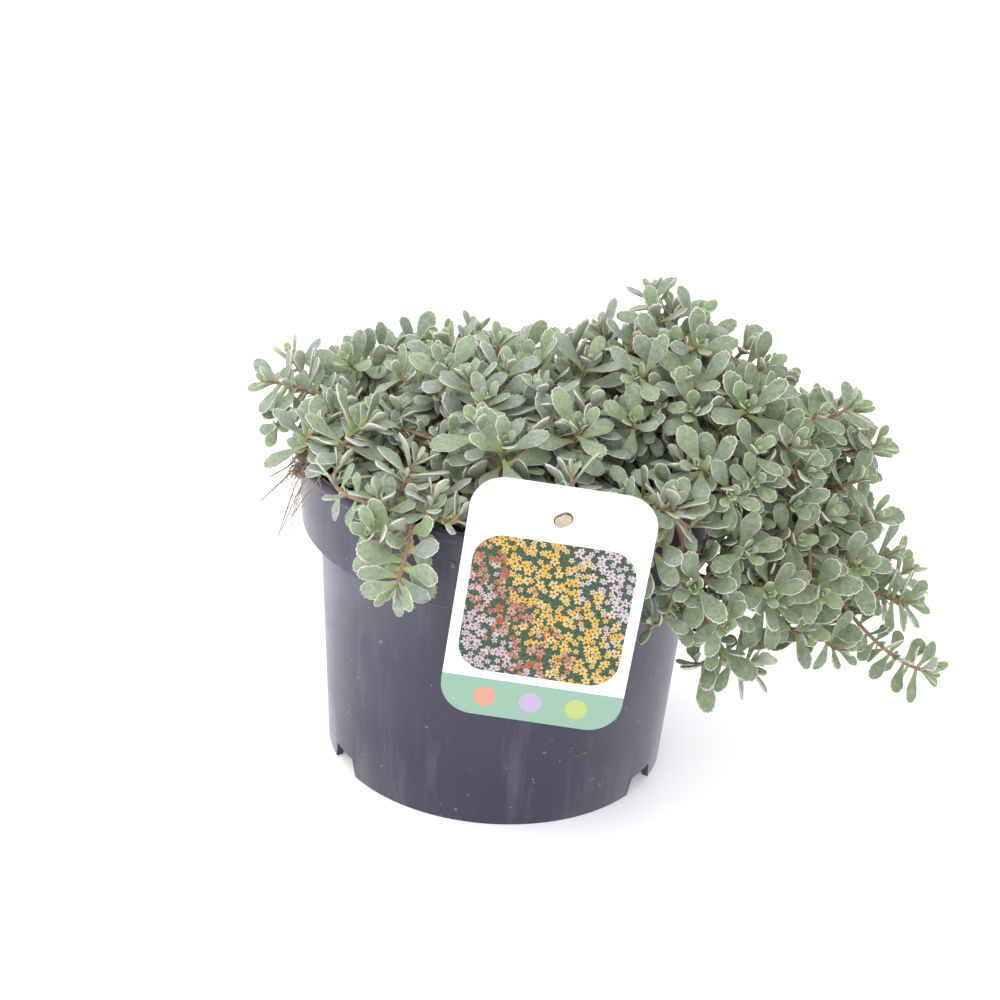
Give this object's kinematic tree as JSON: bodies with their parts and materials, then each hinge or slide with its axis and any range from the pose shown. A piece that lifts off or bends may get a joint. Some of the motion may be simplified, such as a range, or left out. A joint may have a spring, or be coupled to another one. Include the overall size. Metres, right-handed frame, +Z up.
{
  "type": "potted stonecrop",
  "caption": "Variegated stonecrop with fleshy wedge leaves, cushioning a dark round nursery pot and trailing over its right side, with a blank-lettered picture card hung at the front.",
  "frame": {"origin": "middle of the pot's foot, on the surface it stands on", "axes": "+Z up the pot's axis, -Y to the front where the card hangs, +X to the side where the stems trail"},
  "size_m": [0.3109, 0.218, 0.2138],
  "materials": {
    "pot_plastic": "satin, faintly scuffed",
    "soil": "matt, crumbly",
    "foliage": "waxy, with cream margins",
    "card": "smooth, printed",
    "strap": "smooth",
    "dry_root": "matt, fibrous"
  },
  "bodies": {
    "root": {"pot": "pot_plastic", "soil": "soil", "label_card": "card", "label_strap": "strap", "dry_roots": "dry_root", "shoot_01": "foliage", "shoot_02": "foliage", "shoot_03": "foliage", "shoot_04": "foliage", "shoot_05": "foliage", "shoot_06": "foliage", "shoot_07": "foliage", "shoot_08": "foliage", "shoot_09": "foliage", "shoot_10": "foliage", "shoot_11": "foliage", "shoot_12": "foliage", "shoot_13": "foliage", "shoot_14": "foliage", "shoot_15": "foliage", "shoot_16": "foliage", "shoot_17": "foliage", "shoot_18": "foliage", "shoot_19": "foliage", "shoot_20": "foliage", "shoot_21": "foliage", "shoot_22": "foliage", "shoot_23": "foliage", "shoot_24": "foliage", "shoot_25": "foliage", "shoot_26": "foliage", "shoot_27": "foliage", "shoot_28": "foliage", "shoot_29": "foliage", "shoot_30": "foliage", "shoot_31": "foliage", "shoot_32": "foliage", "shoot_33": "foliage", "shoot_34": "foliage", "shoot_35": "foliage", "shoot_36": "foliage", "shoot_37": "foliage", "shoot_38": "foliage", "shoot_39": "foliage", "shoot_40": "foliage"}
  },
  "joints": []
}
